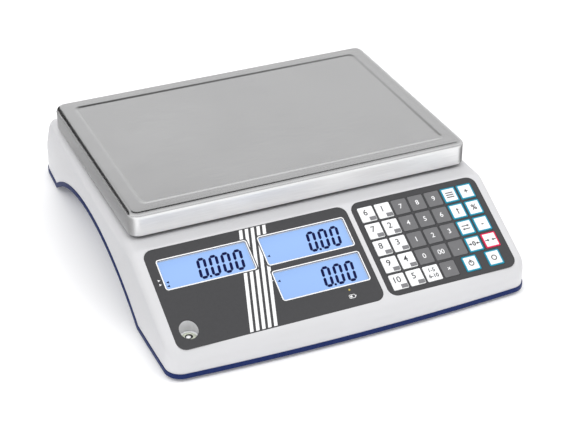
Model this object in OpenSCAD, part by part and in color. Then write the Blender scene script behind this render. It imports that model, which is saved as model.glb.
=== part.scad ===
// Retail bench scale with a lift-off stainless pan, a sloping console and a load cell.
// Millimetres, +Z up, front towards -Y, origin on the table below the middle of the base.

/* [Base and housing] */
// Width across the front corners of the base
base_front_w = 313; // [309:1:318]
// Width across the back corners of the base
base_back_w = 298; // [294:1:302]
// Depth from front to back
base_d = 372; // [370:1:376]
// Height of the weighing pan's top above the table
pan_top_z = 92; // [91:0.5:95]
// Slope of the console from the horizontal
console_tilt = 27.3; // [26:0.1:28]
// Thickness of the plastic walls
wall = 2.5; // [2:0.1:3]
// Height of the hand-grip arch above the base's underside
arch_rise = 38; // [32:1:40]

/* [Weighing pan] */
// Width of the pan
pan_w = 299; // [290:1:301]
// Depth of the pan
pan_d = 207; // [200:1:209]
// Height of the pan's folded skirt
skirt_h = 20.2; // [19:0.1:21]
// Thickness of the pan's sheet
sheet = 1.2; // [1:0.1:1.4]

/* [Console] */
// Width of a display window
window_w = 74.2; // [70:0.1:76]
// Height of a display window
window_h = 26; // [24:0.1:27]
// Width of a key
key_w = 13.4; // [12.6:0.1:13.8]
// Height of a key along the slope
key_h = 14.2; // [13.4:0.1:14.6]
// Travel of a key
key_travel = 0.4; // [0.2:0.05:0.4]

/* [Feet] */
// Distance that a foot can be screwed out
foot_travel = 8; // [5:0.5:8]

/* [Hidden] */
$fn = 64;
bow_fn = 480;
arch_fn = 240;

// base shell
foot_gap = 3;
base_z = foot_gap;
flange_h = 4;
flange_t = 3;
floor_t = 3;
floor_z = base_z + floor_t;
parting_z = base_z + flange_h;
bow_r = 2045;
side_bow = 3.2;
front_corner_r = 14;
back_corner_r = 20;
taper = atan((base_front_w - base_back_w) / 2 / base_d);
mid_half_w = (base_front_w + base_back_w) / 4;
side_chord = norm([(base_front_w - base_back_w) / 2, base_d]);
side_r = pow(side_chord, 2) / (8 * side_bow) + side_bow / 2;
console_mid_y = -140;
back_mid_y = 163;
arch_y = 14.5;
arch_r = 206;
arch_z = base_z + arch_rise - arch_r;
scoop_x = 112;
scoop_wall = 2.5;
roof_t = 3;
wide = 420;

// housing
housing_step = 0.8;
deck_z = pan_top_z - 23.5;
crest_y = -95.2;
back_crest_y = 145;
back_foot_y = 182;
back_foot_z = 12;
back_tilt = atan((deck_z - back_foot_z) / (back_foot_y - back_crest_y));
console_front_y = -base_d / 2;
console_front_z = deck_z + (console_front_y - crest_y) * tan(console_tilt);
console_edge_r = 9;
crest_r = 4;
back_edge_r = 8;
side_edge_r = 7;
side_slack = 0.1;
well_x = 48;
well_w = 52;
well_d = 46;

// weighing pan
pan_y = 23;
pan_corner_r = 9;
pan_edge_r = 4.5;
panel_margin = 15;
panel_r = 5;
panel_drop = 0.6;
pan_under_z = pan_top_z - panel_drop - sheet;

// weighing cell and what carries the pan
cell_len = 130;
cell_d = 30;
cell_h = 22;
cell_z = 22;
cell_bolt_x = [37, 57];
bolt_r = 3;
bolt_play = 0.15;
bolt_head_r = 5;
bolt_head_h = 6;
plate_w = 180;
plate_d = 90;
plate_z = 14;
plate_t = 3;
riser_x = [-66, -30];
stop_x = 61;
stop_gap = 0.6;
stub_x = 80;
stub_y = 36;
stub_r = 2.5;
hub_x = 48;
hub_w = 36;
frame_z = 76;
frame_t = 5;
frame_w = 250;
frame_d = 164;
bar_w = 22;
hub_bar_w = 40;
pad_x = 114;
pad_y = 71;
pad_r = 8;
pad_h = 3;
post_r = 9;
pad_z = pan_under_z - pad_h;

// feet
foot_x = 112;
foot_front_y = -158;
foot_back_y = 156;
foot_places = [for (y = [foot_front_y, foot_back_y], x = [-foot_x, foot_x]) [x, y]];
foot_pad_r = 13;
foot_pad_h = 4;
wheel_r = 13.5;
wheel_h = 4.6;
foot_play = 0.3;
stem_r = 4;
stem_bore_r = 4.1;
pocket_top_z = 12;
thread_left = 4;
stem_top_z = pocket_top_z + foot_travel + thread_left;
pocket_r = 15.5;
pocket_wall = 2.5;
boss_r = 7;
pivot_r = 2.8;
pivot_bore_r = 3;
pivot_z = 1.6;

// screws that hold the housing on the base
screw_places = [[-88, -165], [28.7, -165], [-88, 158], [88, 158]];
screw_r = 2;
screw_hole_r = 2.3;
pilot_r = 2.1;
screw_head_r = 4;
screw_head_h = 3;
screw_recess_r = 5;
screw_recess_z = 8;
screw_top_z = 27;
post_bottom_z = 20;
screw_post_r = 4.6;

// overlays, displays and keys, all measured down the slope from the console's crest
overlay_s = 1.3;
overlay_h = 90.6;
overlay_x = -147.4;
overlay_split = 27.3;
keypad_x = 31.3;
keypad_right_x = 147.3;
overlay_corner_r = 8;
overlay_sink = 0.6;
overlay_t = 0.8;
window_r = 1.2;
weight_window = [-138.4, 12.5];
unit_window = [-53, 12.3];
total_window = [-53, 45.4];
windows = [weight_window, unit_window, total_window];
lcd_rim = 2;
lcd_t = 6;
pitch_x = 15.3;
pitch_s = 16.4;
key_x0 = 36.3;
key_s0 = 7.3;
key_on_x = 102.5;
key_off_x = 123.7;
key_r = 0.8;
key_play = 0.3;
key_proud = 0.3;
key_clear = 0.2;
key_t = overlay_t - overlay_sink + key_proud + wall - key_travel - key_clear;
keypad_well_at = [35, 5];
keypad_well_size = [108.5, 84.5];
board_t = 1.6;
keypad_board_at = [32.8, 3];
keypad_board_size = [112, 87];
keypad_board_r = 4.5;
main_board_x = -78;
main_board_w = 100;
main_board_s = 8;
main_board_h = 72;
chip_sizes = [[18, 18, 2.4], [12, 9, 2], [10, 10, 7], [22, 8, 3]];
chip_x0 = 8;
chip_pitch = 23;
chip_s = 40;
level_x = -133.9;
level_s = 75.8;
level_bore_r = 7.5;
vial_r = 7.4;
vial_h = 7;
vial_top_z = 27.5;
cup_wall = 2.5;
bubble_r = 2.4;
vial_wall = 0.8;

// power supply
battery_size = [100, 66, 47];
battery_y = 110;
battery_lead_h = 3;
fence_h = 12;
fence_t = 2;
socket_x = -66;
socket_s = 40;
socket_r = 5.5;
socket_hole_r = 5.6;
socket_len = 14;
socket_flange_r = 7;
socket_bore_r = 2.9;
socket_bore_len = 10;
socket_pin_r = 1;

// colours
blue = [0.13, 0.22, 0.50];
white = [0.90, 0.90, 0.91];
steel = [0.76, 0.76, 0.77];
cast = [0.70, 0.71, 0.73];
charcoal = [0.32, 0.32, 0.34];
lcd_blue = [0.60, 0.76, 0.97];
board_green = [0.10, 0.35, 0.20];
black = [0.08, 0.08, 0.09];
key_white = [0.94, 0.95, 0.95];
key_grey = [0.45, 0.45, 0.47];
zinc = [0.80, 0.80, 0.82];

// ---- helpers ----

function unit(v) = v / norm(v);
// outward normal of the edge a-b of a polygon listed anticlockwise
function edge_normal(a, b) = unit([b[1] - a[1], a[0] - b[0]]);
function side_normal() = [cos(taper), sin(taper)];
// centre of the big circle that draws the front (end = -1) or back (end = 1) edge
function bow_centre(end) = [0, end * (base_d / 2 - bow_r)];
// centre of the big circle that draws the right edge
function side_centre() = [mid_half_w, 0] + side_normal() * (side_bow - side_r);
// angle of the right edge's outward normal at depth y
function side_angle(y) = asin((y - side_centre()[1]) / side_r);
// half the width at depth y, moved inwards by inset
function side_x(y, inset) = side_centre()[0] + (side_r - inset) * cos(side_angle(y));
// centre of a plan corner's rounding, where the side's and the end's circles meet when shrunk by its radius
function corner_centre(end, inset, r) =
    let (f = bow_centre(end), g = side_centre(), rf = bow_r - inset - r, rg = side_r - inset - r)
    let (along = unit(g - f), gap = norm(g - f))
    let (reach = (rf * rf - rg * rg + gap * gap) / (2 * gap))
    f + along * reach + end * [along[1], -along[0]] * sqrt(rf * rf - reach * reach);
// a convex polygon's corner i, moved inwards by t
function inset_corner(pts, i, t) =
    let (c = len(pts), a = pts[(i + c - 1) % c], p = pts[i], b = pts[(i + 1) % c])
    let (n1 = edge_normal(a, p), n2 = edge_normal(p, b))
    p - (n1 + n2) * t / (1 + n1 * n2);
function inset_poly(pts, t) = [for (i = [0 : len(pts) - 1]) inset_corner(pts, i, t)];

// what a round of radius r at centre c takes off between the outward directions n1 and n2
module corner_cut(c, n1, n2, r) {
    difference() {
        polygon([c, c + n1 * 2 * r, c + (n1 + n2) * 2 * r, c + n2 * 2 * r]);
        translate(c) circle(r);
    }
}

// convex polygon with corner i rounded to radii[i]
module rounded_poly(pts, radii) {
    c = len(pts);
    difference() {
        polygon(pts);
        for (i = [0 : c - 1]) {
            if (radii[i] > 0) {
                n1 = edge_normal(pts[(i + c - 1) % c], pts[i]);
                n2 = edge_normal(pts[i], pts[(i + 1) % c]);
                corner_cut(pts[i] - (n1 + n2) * radii[i] / (1 + n1 * n2), n1, n2, radii[i]);
            }
        }
    }
}

module rounded_rect(w, h, r) {
    rounded_poly([[0, 0], [w, 0], [w, h], [0, h]], [r, r, r, r]);
}

// the base's plan, moved inwards by inset
module plan(inset) {
    difference() {
        intersection() {
            translate(bow_centre(-1)) circle(bow_r - inset, $fn = bow_fn);
            translate(bow_centre(1)) circle(bow_r - inset, $fn = bow_fn);
            translate(side_centre()) circle(side_r - inset, $fn = bow_fn);
            mirror([1, 0]) translate(side_centre()) circle(side_r - inset, $fn = bow_fn);
        }
        for (side = [0, 1]) {
            mirror([side, 0]) {
                plan_corner(-1, inset, front_corner_r - inset);
                plan_corner(1, inset, back_corner_r - inset);
            }
        }
    }
}

module plan_corner(end, inset, r) {
    c = corner_centre(end, inset, r);
    to_end = unit(c - bow_centre(end));
    to_side = unit(c - side_centre());
    if (end < 0) {
        corner_cut(c, to_end, to_side, r);
    } else {
        corner_cut(c, to_side, to_end, r);
    }
}

// a cylinder across the whole base, concentric with the hand-grip arch
module arch(r) {
    translate([0, arch_y, arch_z]) {
        rotate([90, 0, 90]) cylinder(h = wide, r = r, center = true, $fn = arch_fn);
    }
}

// everything further than x from the middle plane
module beyond(x) {
    for (side = [0, 1]) {
        mirror([side, 0, 0]) translate([x, -wide / 2, -50]) cube([wide / 2, wide, 200]);
    }
}

// console frame: x across, y up the slope, z out of the surface, origin at the crest
module on_console() {
    translate([0, crest_y, deck_z]) rotate([console_tilt, 0, 0]) children();
}

// back frame: x across, y down the back slope, z out of the surface, origin at the crest
module on_back() {
    translate([0, back_crest_y, deck_z]) rotate([-back_tilt, 0, 0]) children();
}

// a plate on the console; at = [left x, distance down the slope], z from its underside
module console_plate(at, size, r, z, t) {
    translate([at[0], -at[1] - size[1], z]) linear_extrude(t) rounded_rect(size[0], size[1], r);
}

// ---- housing shape ----

// section across the housing's depth, y then z
function section_points() = [
    [-base_d / 2, -10], [base_d / 2 + 20, -10],
    [back_foot_y + 10 / tan(back_tilt), back_foot_z - 10], [back_crest_y, deck_z], [crest_y, deck_z],
    [console_front_y, console_front_z]
];

module section(inset) {
    less = inset * 0.6;
    radii = [0, 0, 0, back_edge_r - less, crest_r - less, console_edge_r - less];
    rotate([90, 0, 90]) linear_extrude(wide, center = true) {
        rounded_poly(inset_poly(section_points(), inset), radii);
    }
}

// long block whose right top edge is rounded, the edge running along Y at x = 0, z = 0;
// its side leans outwards from the vertical by lean
module eased_edge(r, lean) {
    big = 340;
    rotate([90, 0, 0]) linear_extrude(700, center = true) {
        rounded_poly([[-big, -big], [big * tan(lean), -big], [0, 0], [-big, 0]], [0, 0, r, 0]);
    }
}

// the right side's straight eased edge in a frame tilted by tilt whose origin is at depth y, touching the
// bowed side at depth mid; it stands off by side_slack so that the plan keeps its own faces
module side_edge(tilt, y, mid, inset) {
    turn = side_angle(mid);
    x = side_x(mid, housing_step + inset - side_slack) + (mid - y) * tan(turn);
    lean = -atan(sin(tilt) * tan(turn));
    translate([x, 0, side_slack - inset]) rotate([0, 0, atan(cos(tilt) * tan(turn))]) {
        eased_edge(side_edge_r - inset * 0.6, lean);
    }
}

// disc whose rim is the bowed side above the deck
module deck_disc(inset) {
    r = side_r - housing_step - inset + side_slack;
    h = 100;
    translate([side_centre()[0], side_centre()[1], deck_z + side_slack - inset - h]) {
        rotate_extrude($fn = bow_fn) {
            rounded_poly([[0, 0], [r, 0], [r, h], [0, h]], [0, 0, side_edge_r - inset * 0.6, 0]);
        }
    }
}

module side_edges(inset) {
    intersection() {
        deck_disc(inset);
        on_console() side_edge(console_tilt, crest_y, console_mid_y, inset);
        on_back() side_edge(-back_tilt, back_crest_y, back_mid_y, inset);
    }
}

// the housing as a solid, moved inwards by inset
module housing_form(inset) {
    intersection() {
        translate([0, 0, base_z]) linear_extrude(deck_z) plan(housing_step + inset);
        section(inset);
        side_edges(inset);
        mirror([1, 0, 0]) side_edges(inset);
    }
}

// ---- base ----

module base_tray() {
    difference() {
        translate([0, 0, base_z]) linear_extrude(flange_h) plan(0);
        translate([0, 0, floor_z]) linear_extrude(flange_h) plan(flange_t);
    }
}

// roof, inner wall and rim of both hand grips
module grips() {
    difference() {
        intersection() {
            translate([0, 0, base_z]) linear_extrude(arch_rise + flange_h) plan(0);
            arch(arch_r + flange_h);
            beyond(scoop_x - scoop_wall);
        }
        difference() {
            translate([0, 0, floor_z]) linear_extrude(arch_rise + flange_h) plan(flange_t);
            arch(arch_r + roof_t);
        }
    }
}

module foot_tube() {
    translate([0, 0, base_z]) cylinder(h = pocket_top_z + floor_t - base_z, r = pocket_r + pocket_wall);
    translate([0, 0, pocket_top_z]) cylinder(h = stem_top_z - pocket_top_z - 1, r = boss_r);
}

module foot_room() {
    translate([0, 0, -1]) cylinder(h = pocket_top_z + 1, r = pocket_r);
    cylinder(h = stem_top_z + 1, r = stem_bore_r);
}

module screw_boss() {
    translate([0, 0, base_z]) cylinder(h = post_bottom_z - base_z, r = boss_r);
}

module screw_room() {
    translate([0, 0, -1]) cylinder(h = screw_recess_z + 1, r = screw_recess_r);
    cylinder(h = post_bottom_z + 1, r = screw_hole_r);
}

module stub() {
    translate([0, 0, base_z]) cylinder(h = plate_z - base_z, r = boss_r);
    translate([0, 0, plate_z]) cylinder(h = plate_t + 1, r = stub_r);
}

module battery_fence() {
    w = battery_size[0] + 2 * fence_t + 1;
    d = battery_size[1] + 2 * fence_t + 1;
    translate([-w / 2, battery_y - d / 2, floor_z - 1]) {
        difference() {
            cube([w, d, fence_h + 1]);
            translate([fence_t, fence_t, -1]) cube([w - 2 * fence_t, d - 2 * fence_t, fence_h + 3]);
        }
    }
}

module base_shell() {
    color(blue) {
        difference() {
            union() {
                base_tray();
                grips();
                for (p = foot_places) translate(p) foot_tube();
                for (p = screw_places) translate(p) screw_boss();
                for (sx = [-1, 1], sy = [-1, 1]) translate([sx * stub_x, pan_y + sy * stub_y, 0]) stub();
                battery_fence();
            }
            intersection() {
                arch(arch_r);
                beyond(scoop_x);
            }
            for (p = foot_places) translate(p) foot_room();
            for (p = screw_places) translate(p) screw_room();
        }
    }
}

// ---- housing ----

module level_cup() {
    z = vial_top_z - vial_h - cup_wall;
    translate([0, 0, z]) cylinder(h = deck_z - z, r = level_bore_r + cup_wall);
}

module screw_post() {
    translate([0, 0, post_bottom_z]) cylinder(h = deck_z - post_bottom_z, r = screw_post_r);
}

function level_y() = crest_y - level_s * cos(console_tilt);

module overlay_recess() {
    on_console() {
        for (ends = [[overlay_x, overlay_split], [keypad_x, keypad_right_x]]) {
            size = [ends[1] - ends[0], overlay_h];
            console_plate([ends[0], overlay_s], size, overlay_corner_r, -overlay_sink, 5);
        }
    }
}

module window_holes(grow, z, t) {
    on_console() {
        for (w = windows) {
            at = [w[0] - grow, w[1] - grow];
            console_plate(at, [window_w + 2 * grow, window_h + 2 * grow], window_r + grow, z, t);
        }
    }
}

module top_housing() {
    color(white) {
        difference() {
            union() {
                difference() {
                    housing_form(0);
                    housing_form(wall);
                }
                intersection() {
                    housing_form(wall / 2);
                    union() {
                        translate([level_x, level_y(), 0]) level_cup();
                        for (p = screw_places) translate(p) screw_post();
                    }
                }
            }
            translate([0, 0, -wide + parting_z]) cylinder(h = wide, r = wide);
            arch(arch_r + flange_h);
            translate([well_x - well_w / 2, pan_y - well_d / 2, deck_z - 10]) cube([well_w, well_d, 20]);
            overlay_recess();
            window_holes(0, -wall - 1, wall + 5);
            on_console() console_plate(keypad_well_at, keypad_well_size, 3, -wall - 1, 6);
            translate([level_x, level_y(), vial_top_z - vial_h]) cylinder(h = deck_z, r = level_bore_r);
            for (p = screw_places) translate(p) cylinder(h = screw_top_z + 1, r = pilot_r);
            on_back() translate([socket_x, socket_s, -wall - 5]) cylinder(h = wall + 10, r = socket_hole_r);
        }
    }
}

module housing_screws() {
    color(zinc) {
        for (p = screw_places) translate([p[0], p[1], screw_recess_z]) {
            translate([0, 0, -screw_head_h]) cylinder(h = screw_head_h, r = screw_head_r);
            cylinder(h = screw_top_z - screw_recess_z, r = screw_r);
        }
    }
}

// ---- weighing pan and what carries it ----

// block w wide and d deep with upright corners of radius r and eased top edges
module pan_block(w, d, r, top, edge) {
    half = d / 2;
    intersection() {
        translate([-w / 2, -half, 0]) linear_extrude(top) rounded_rect(w, d, r);
        rotate([90, 0, 0]) linear_extrude(d + 2, center = true) {
            rounded_poly([[-w / 2, -1], [w / 2, -1], [w / 2, top], [-w / 2, top]], [0, 0, edge, edge]);
        }
        rotate([90, 0, 90]) linear_extrude(w + 2, center = true) {
            rounded_poly([[-half, -1], [half, -1], [half, top], [-half, top]], [0, 0, edge, edge]);
        }
    }
}

module weighing_pan() {
    m = panel_margin;
    inner_w = pan_w - 2 * sheet;
    inner_d = pan_d - 2 * sheet;
    color(steel) translate([0, pan_y, pan_top_z - skirt_h]) {
        difference() {
            union() {
                difference() {
                    pan_block(pan_w, pan_d, pan_corner_r, skirt_h, pan_edge_r);
                    translate([0, 0, -sheet]) {
                        pan_block(inner_w, inner_d, pan_corner_r - sheet, skirt_h, pan_edge_r - sheet);
                    }
                }
                translate([-pan_w / 2 + m - sheet, -pan_d / 2 + m - sheet, skirt_h - panel_drop - sheet]) {
                    size = [pan_w - 2 * m + 2 * sheet, pan_d - 2 * m + 2 * sheet];
                    linear_extrude(sheet) rounded_rect(size[0], size[1], panel_r + 1);
                }
            }
            translate([-pan_w / 2 + m, -pan_d / 2 + m, skirt_h - panel_drop]) {
                linear_extrude(5) rounded_rect(pan_w - 2 * m, pan_d - 2 * m, panel_r);
            }
        }
    }
}

module bar(x, y, w, d, z, t) {
    translate([x - w / 2, y - d / 2, z]) cube([w, d, t]);
}

module pan_support() {
    color(cast) translate([0, pan_y, 0]) {
        difference() {
            union() {
                for (s = [-1, 1]) {
                    bar(0, s * (frame_d - bar_w) / 2, frame_w, bar_w, frame_z, frame_t);
                    bar(s * (frame_w - bar_w) / 2, 0, bar_w, frame_d, frame_z, frame_t);
                }
                bar(0, 0, frame_w, hub_bar_w, frame_z, frame_t);
                bar(hub_x, 0, hub_w, cell_d, cell_z + cell_h, frame_z - cell_z - cell_h + 1);
                for (sx = [-1, 1], sy = [-1, 1]) {
                    translate([sx * pad_x, sy * pad_y, frame_z]) cylinder(h = pad_z - frame_z, r = post_r);
                }
            }
            for (x = cell_bolt_x) translate([x, 0, 0]) cylinder(h = pan_top_z, r = bolt_r + bolt_play);
        }
    }
}

module pan_pads() {
    color(black) {
        for (sx = [-1, 1], sy = [-1, 1]) {
            translate([sx * pad_x, pan_y + sy * pad_y, pad_z]) cylinder(h = pad_h, r = pad_r);
        }
    }
}

module load_cell() {
    hole_r = 8;
    spread = 12;
    mid_z = cell_z + cell_h / 2;
    color(zinc) translate([0, pan_y, 0]) {
        difference() {
            bar(0, 0, cell_len, cell_d, cell_z, cell_h);
            for (s = [-1, 1]) {
                translate([s * spread, 0, mid_z]) {
                    rotate([90, 0, 0]) cylinder(h = cell_d + 2, r = hole_r, center = true);
                }
            }
            translate([-spread, -cell_d, mid_z - 2]) cube([2 * spread, 2 * cell_d, 4]);
            for (s = [-1, 1], x = cell_bolt_x) {
                translate([s * x, 0, 0]) cylinder(h = pan_top_z, r = bolt_r + bolt_play);
            }
        }
    }
}

module load_cell_bolts() {
    color(zinc) {
        for (x = cell_bolt_x) {
            translate([-x, pan_y, plate_z - bolt_head_h]) cylinder(h = bolt_head_h, r = bolt_head_r);
            translate([-x, pan_y, plate_z]) cylinder(h = 20, r = bolt_r);
        }
    }
}

module carrier_bolts() {
    top = frame_z + frame_t;
    color(zinc) {
        for (x = cell_bolt_x) {
            translate([x, pan_y, top]) cylinder(h = bolt_head_h, r = bolt_head_r);
            translate([x, pan_y, cell_z + 8]) cylinder(h = top - cell_z - 8, r = bolt_r);
        }
    }
}

module chassis_plate() {
    riser_w = riser_x[1] - riser_x[0];
    color(steel) translate([0, pan_y, 0]) {
        difference() {
            union() {
                bar(0, 0, plate_w, plate_d, plate_z, plate_t);
                bar(riser_x[0] + riser_w / 2, 0, riser_w, cell_d, plate_z, cell_z - plate_z);
                bar(stop_x, 0, 8, cell_d, plate_z, cell_z - plate_z - stop_gap);
            }
            for (x = cell_bolt_x) translate([-x, 0, 0]) cylinder(h = cell_z + 1, r = bolt_r + bolt_play);
            for (sx = [-1, 1], sy = [-1, 1]) {
                translate([sx * stub_x, sy * stub_y, 0]) cylinder(h = cell_z, r = stub_r + bolt_play);
            }
        }
    }
}

// ---- console ----

module display_overlay() {
    color(charcoal) {
        difference() {
            on_console() {
                size = [overlay_split - overlay_x, overlay_h];
                console_plate([overlay_x, overlay_s], size, overlay_corner_r, -overlay_sink, overlay_t);
            }
            window_holes(0, -2, 4);
            translate([level_x, level_y(), 0]) cylinder(h = deck_z, r = level_bore_r);
        }
    }
}

module lcd_panels() {
    color(lcd_blue) window_holes(lcd_rim, -wall - lcd_t, lcd_t);
}

module main_board() {
    color(board_green) on_console() {
        z = -wall - lcd_t - board_t;
        console_plate([main_board_x, main_board_s], [main_board_w, main_board_h], 1, z, board_t);
        for (i = [0 : len(chip_sizes) - 1]) {
            c = chip_sizes[i];
            x = main_board_x + chip_x0 + chip_pitch * i;
            translate([x, -main_board_s - chip_s, z - c[2]]) cube([c[0], c[1], c[2] + 0.1]);
        }
    }
}

module level_vial() {
    z = vial_top_z - vial_h;
    color([0.75, 0.85, 0.45]) translate([level_x, level_y(), z]) {
        difference() {
            cylinder(h = vial_h, r = vial_r);
            translate([0, 0, vial_h - vial_wall - 1]) cylinder(h = 1, r = bubble_r);
        }
    }
}

function key_at(row, col) = [key_x0 + (col - 1) * pitch_x, key_s0 + (row - 1) * pitch_s];
function key_places() = concat(
    [for (row = [1 : 4], col = [1 : 7]) key_at(row, col)],
    [for (col = [1 : 4]) key_at(5, col)],
    [[key_on_x, key_at(5, 1)[1]], [key_off_x, key_at(5, 1)[1]]]
);

module keypad_overlay() {
    size = [keypad_right_x - keypad_x, overlay_h];
    hole = [key_w + 2 * key_play, key_h + 2 * key_play];
    color(charcoal) on_console() {
        difference() {
            console_plate([keypad_x, overlay_s], size, overlay_corner_r, -overlay_sink, overlay_t);
            for (at = key_places()) {
                console_plate(at - [key_play, key_play], hole, key_r + key_play, -2, 4);
            }
        }
    }
}

module key_cap(at, tone) {
    top = overlay_t - overlay_sink + key_proud;
    color(tone) on_console() console_plate(at, [key_w, key_h], key_r, top - key_t, key_t);
}

module key(row, col) {
    key_cap(key_at(row, col), col >= 3 && col <= 5 && !(row == 5 && col == 3) ? key_grey : key_white);
}

module key_on() {
    key_cap([key_on_x, key_at(5, 1)[1]], key_white);
}

module key_off() {
    key_cap([key_off_x, key_at(5, 1)[1]], key_white);
}

module keypad_board() {
    color(board_green) on_console() {
        console_plate(keypad_board_at, keypad_board_size, keypad_board_r, -wall - board_t, board_t);
    }
}

// ---- power ----

module battery() {
    s = battery_size;
    color(black) {
        translate([-s[0] / 2, battery_y - s[1] / 2, floor_z]) {
            cube(s);
            for (x = [8, s[0] - 14]) translate([x, 6, s[2]]) cube([6, 5, battery_lead_h]);
        }
    }
}

module power_socket() {
    bore_z = socket_len - socket_bore_len;
    color(black) on_back() translate([socket_x, socket_s, -socket_len]) {
        difference() {
            union() {
                cylinder(h = socket_len + 1, r = socket_r);
                translate([0, 0, socket_len]) cylinder(h = 1.2, r = socket_flange_r);
            }
            translate([0, 0, bore_z + 2]) cylinder(h = socket_bore_len, r = socket_bore_r);
        }
        translate([0, 0, bore_z]) cylinder(h = socket_bore_len, r = socket_pin_r);
    }
}

// ---- feet ----

module foot_pad(i) {
    color(black) translate(foot_places[i]) {
        difference() {
            cylinder(h = foot_pad_h, r = foot_pad_r);
            translate([0, 0, pivot_z - foot_play]) cylinder(h = foot_pad_h, r = pivot_bore_r);
        }
    }
}

module foot_screw(i) {
    wheel_z = foot_pad_h + foot_play;
    color(zinc) translate(foot_places[i]) {
        translate([0, 0, pivot_z]) cylinder(h = wheel_z - pivot_z, r = pivot_r);
        translate([0, 0, wheel_z]) cylinder(h = wheel_h, r = wheel_r);
        translate([0, 0, wheel_z + wheel_h]) cylinder(h = stem_top_z - wheel_z - wheel_h, r = stem_r);
    }
}

// ---- nodes ----

base_shell();
top_housing();
weighing_pan();
pan_support();
pan_pads();
load_cell();
load_cell_bolts();
carrier_bolts();
chassis_plate();
display_overlay();
keypad_overlay();
lcd_panels();
keypad_board();
main_board();
level_vial();
battery();
housing_screws();
power_socket();
foot_pad(0);  // foot_pad_front_left
foot_pad(1);  // foot_pad_front_right
foot_pad(2);  // foot_pad_back_left
foot_pad(3);  // foot_pad_back_right
foot_screw(0);  // foot_screw_front_left
foot_screw(1);  // foot_screw_front_right
foot_screw(2);  // foot_screw_back_left
foot_screw(3);  // foot_screw_back_right
key(1, 1);  // key_r1_c1
key(1, 2);  // key_r1_c2
key(1, 3);  // key_r1_c3
key(1, 4);  // key_r1_c4
key(1, 5);  // key_r1_c5
key(1, 6);  // key_r1_c6
key(1, 7);  // key_r1_c7
key(2, 1);  // key_r2_c1
key(2, 2);  // key_r2_c2
key(2, 3);  // key_r2_c3
key(2, 4);  // key_r2_c4
key(2, 5);  // key_r2_c5
key(2, 6);  // key_r2_c6
key(2, 7);  // key_r2_c7
key(3, 1);  // key_r3_c1
key(3, 2);  // key_r3_c2
key(3, 3);  // key_r3_c3
key(3, 4);  // key_r3_c4
key(3, 5);  // key_r3_c5
key(3, 6);  // key_r3_c6
key(3, 7);  // key_r3_c7
key(4, 1);  // key_r4_c1
key(4, 2);  // key_r4_c2
key(4, 3);  // key_r4_c3
key(4, 4);  // key_r4_c4
key(4, 5);  // key_r4_c5
key(4, 6);  // key_r4_c6
key(4, 7);  // key_r4_c7
key(5, 1);  // key_r5_c1
key(5, 2);  // key_r5_c2
key(5, 3);  // key_r5_c3
key(5, 4);  // key_r5_c4
key_on();
key_off();
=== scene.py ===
"""Retail bench scale: stainless pan on a load cell, sloping console with displays and keys."""

import math

import bmesh
import bpy
from mathutils import Matrix, Vector


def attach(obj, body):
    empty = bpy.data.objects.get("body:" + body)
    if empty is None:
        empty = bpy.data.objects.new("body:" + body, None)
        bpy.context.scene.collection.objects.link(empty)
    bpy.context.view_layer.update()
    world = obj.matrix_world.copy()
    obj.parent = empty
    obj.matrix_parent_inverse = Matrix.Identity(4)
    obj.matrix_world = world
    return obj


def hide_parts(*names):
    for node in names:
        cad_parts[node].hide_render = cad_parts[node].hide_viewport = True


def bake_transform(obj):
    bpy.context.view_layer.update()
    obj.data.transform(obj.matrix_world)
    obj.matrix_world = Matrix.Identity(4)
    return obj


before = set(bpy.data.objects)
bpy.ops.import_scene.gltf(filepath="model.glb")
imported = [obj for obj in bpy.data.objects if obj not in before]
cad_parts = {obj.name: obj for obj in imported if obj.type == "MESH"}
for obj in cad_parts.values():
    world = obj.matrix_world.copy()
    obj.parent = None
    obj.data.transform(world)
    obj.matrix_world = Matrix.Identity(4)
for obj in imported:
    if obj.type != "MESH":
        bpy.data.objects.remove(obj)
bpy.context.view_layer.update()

# ---- metres in a millimetre, and the distance in metres below which vertices become one
MM = 0.001
WELD = 1e-6

# ---- sizes in millimetres, counts and ratios; the pieces have the CAD part's sizes
SMALLEST_R = 0.01
# base and housing
BASE_FRONT_W = 313
BASE_BACK_W = 298
BASE_D = 372
END_BOW_R = 2045
SIDE_BOW = 3.2
FRONT_CORNER_R = 14
BACK_CORNER_R = 20
BASE_Z = 3
PARTING_Z = 7
BELOW_PARTING = ((-250, -250, -20), (250, 250, PARTING_Z))
DECK_Z = 68.5
CREST_Y = -95.2
BACK_CREST_Y = 145
BACK_FOOT = (182, 12)
TILT = math.radians(27.3)
WALL = 2.5
HOUSING_STEP = 0.8
CREST_R = 4
BACK_CREST_R = 8
FRONT_EDGE_R = 9
SIDE_EDGE_R = 7
LOW_EDGE_R = 1.5
INNER_EDGE_R = 0.6
EDGE_SHRINK = 0.6
EDGE_STEPS = 8
LOWEST_EDGE_Z = 1
ARCH_Y = 14.5
ARCH_R = 206
ARCH_RISE = 38
ARCH_Z = BASE_Z + ARCH_RISE - ARCH_R
ARCH_REACH = 210
FLANGE_H = 4
# pan, and the well below it for the cell
PAN_W = 299
PAN_D = 207
PAN_Y = 23
PAN_TOP_Z = 92
SKIRT_H = 20.2
PAN_CORNER_R = 9
PAN_BEND_R = 4.5
SHEET = 1.2
PANEL_MARGIN = 15
PANEL_DROP = 0.6
PANEL_ROLL = 0.45
CELL_WELL = ((22, 0, 58), (74, 46, 80))
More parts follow.
